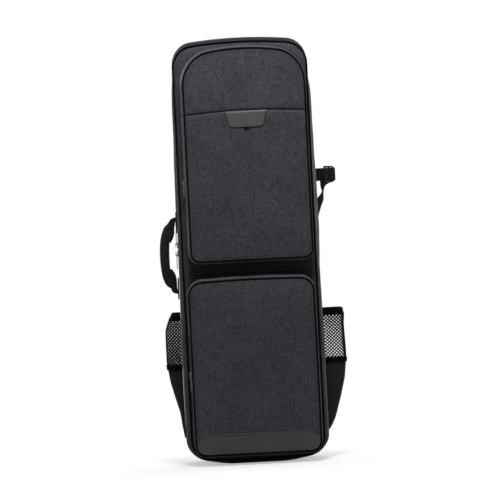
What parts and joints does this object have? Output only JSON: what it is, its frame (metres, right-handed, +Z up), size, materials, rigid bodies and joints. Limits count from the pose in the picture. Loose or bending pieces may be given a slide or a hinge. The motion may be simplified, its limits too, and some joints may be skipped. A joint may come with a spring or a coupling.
{
  "type": "saxophone bag",
  "caption": "Tall padded soft case for a tenor saxophone, with a hinged lid, zipped front pockets, mesh bottle pockets, a side handle and back straps.",
  "frame": {"origin": "middle of the flat base that the bag stands on", "axes": "X to the bag's right as seen from the front, Z up, and the front with its pockets faces -Y"},
  "size_m": [0.3532, 0.273, 0.8199],
  "materials": {
    "heather_canvas": "heathered woven canvas",
    "plain_canvas": "fine black canvas",
    "trim": "ribbed binding and piping",
    "webbing": "woven webbing and zip tape",
    "coated_leather": "smooth coated leather",
    "badge_leather": "plain embossed leather",
    "net": "diamond net",
    "plush": "short plush",
    "nickel": "bright nickel plate",
    "nylon_plastic": "moulded black plastic"
  },
  "bodies": {
    "case": {"rear_shell": "plain_canvas", "rear_lining": "plush", "rear_piping": "trim", "rear_zip_tape": "webbing", "fabric_hinge": "plain_canvas", "bell_cradle": "plush", "body_cradle": "plush", "neck_cradle": "plush", "retaining_strap": "webbing", "left_bottle_panel": "plain_canvas", "left_bottle_net": "net", "left_bottle_binding": "trim", "right_bottle_panel": "plain_canvas", "right_bottle_net": "net", "right_bottle_binding": "trim", "handle_anchor_lower": "trim", "handle_anchor_upper": "trim", "lower_back_pad": "plain_canvas", "upper_back_pad": "plain_canvas", "strap_yoke": "trim", "right_strap_pad": "plain_canvas", "right_ladder_lock": "nylon_plastic", "right_strap_short_web": "webbing", "right_strap_webbing": "webbing", "right_strap_anchor": "trim", "left_strap_pad": "plain_canvas", "left_ladder_lock": "nylon_plastic", "left_strap_short_web": "webbing", "left_strap_webbing": "webbing", "left_strap_anchor": "trim"},
    "lid": {"lid_shell": "plain_canvas", "lid_lining": "plush", "front_piping": "trim", "lid_zip_tape": "webbing", "upper_pocket_gusset": "heather_canvas", "upper_pocket_panel": "heather_canvas", "upper_pocket_piping": "trim", "upper_pocket_zip_tape": "webbing", "lower_pocket_gusset": "heather_canvas", "lower_pocket_panel": "heather_canvas", "lower_pocket_piping": "trim", "lower_pocket_zip_tape": "webbing", "bumper_patch": "coated_leather"},
    "upper_flap": {"upper_pocket_flap": "heather_canvas", "upper_pocket_yoke": "heather_canvas", "upper_pocket_flap_piping": "trim", "upper_pocket_flap_tape": "webbing", "badge": "badge_leather"},
    "lower_flap": {"lower_pocket_flap": "heather_canvas", "lower_pocket_flap_piping": "trim", "lower_pocket_flap_tape": "webbing"},
    "handle": {"handle_grip": "plain_canvas"},
    "main_upper_slider": {"main_upper_slider": "nickel"},
    "main_upper_pull": {"main_upper_pull": "nickel"},
    "main_lower_slider": {"main_lower_slider": "nickel"},
    "main_lower_pull": {"main_lower_pull": "nickel"},
    "upper_pocket_slider": {"upper_pocket_slider": "nickel"},
    "upper_pocket_pull": {"upper_pocket_pull": "nickel"},
    "lower_pocket_slider": {"lower_pocket_slider": "nickel"},
    "lower_pocket_pull": {"lower_pocket_pull": "nickel"}
  },
  "joints": [
    {"name": "lid_hinge", "type": "hinge", "parent": "case", "child": "lid", "pos_m": [0.139, -0.03, 0.4], "axis": [0, 0, 1], "range_deg": [0, 105], "deforming": ["fabric_hinge"]},
    {"name": "upper_flap_hinge", "type": "hinge", "parent": "lid", "child": "upper_flap", "pos_m": [0.002, -0.1295, 0.552], "axis": [1, 0, 0], "range_deg": [0, 165]},
    {"name": "lower_flap_hinge", "type": "hinge", "parent": "lid", "child": "lower_flap", "pos_m": [0, -0.1335, 0.184], "axis": [1, 0, 0], "range_deg": [0, 165]},
    {"name": "handle_swing", "type": "hinge", "parent": "case", "child": "handle", "pos_m": [-0.14636, 0.015, 0.341], "axis": [0.0147, 0, 0.9999], "range_deg": [-45, 45]},
    {"name": "main_upper_zip", "type": "slide", "parent": "case", "child": "main_upper_slider", "axis": [0.0148, 0, 0.9999], "range_m": [0, 0.335]},
    {"name": "main_upper_pull_swing", "type": "hinge", "parent": "main_upper_slider", "child": "main_upper_pull", "pos_m": [-0.13812, -0.03, 0.42501], "axis": [0, -1, 0], "range_deg": [0, 100]},
    {"name": "main_lower_zip", "type": "slide", "parent": "case", "child": "main_lower_slider", "axis": [-0.0148, 0, -0.9999], "range_m": [0, 0.17]},
    {"name": "main_lower_pull_swing", "type": "hinge", "parent": "main_lower_slider", "child": "main_lower_pull", "pos_m": [-0.13836, -0.03, 0.40901], "axis": [0, 1, 0], "range_deg": [0, 100]},
    {"name": "upper_pocket_zip", "type": "slide", "parent": "lid", "child": "upper_pocket_slider", "axis": [0, 0, 1], "range_m": [0, 0.19]},
    {"name": "upper_pocket_pull_swing", "type": "hinge", "parent": "upper_pocket_slider", "child": "upper_pocket_pull", "pos_m": [-0.11918, -0.10715, 0.544], "axis": [0, 1, 0], "range_deg": [0, 150]},
    {"name": "lower_pocket_zip", "type": "slide", "parent": "lid", "child": "lower_pocket_slider", "axis": [0, 0, 1], "range_m": [0, 0.15]},
    {"name": "lower_pocket_pull_swing", "type": "hinge", "parent": "lower_pocket_slider", "child": "lower_pocket_pull", "pos_m": [-0.12411, -0.10915, 0.176], "axis": [0, 1, 0], "range_deg": [0, 150]}
  ]
}
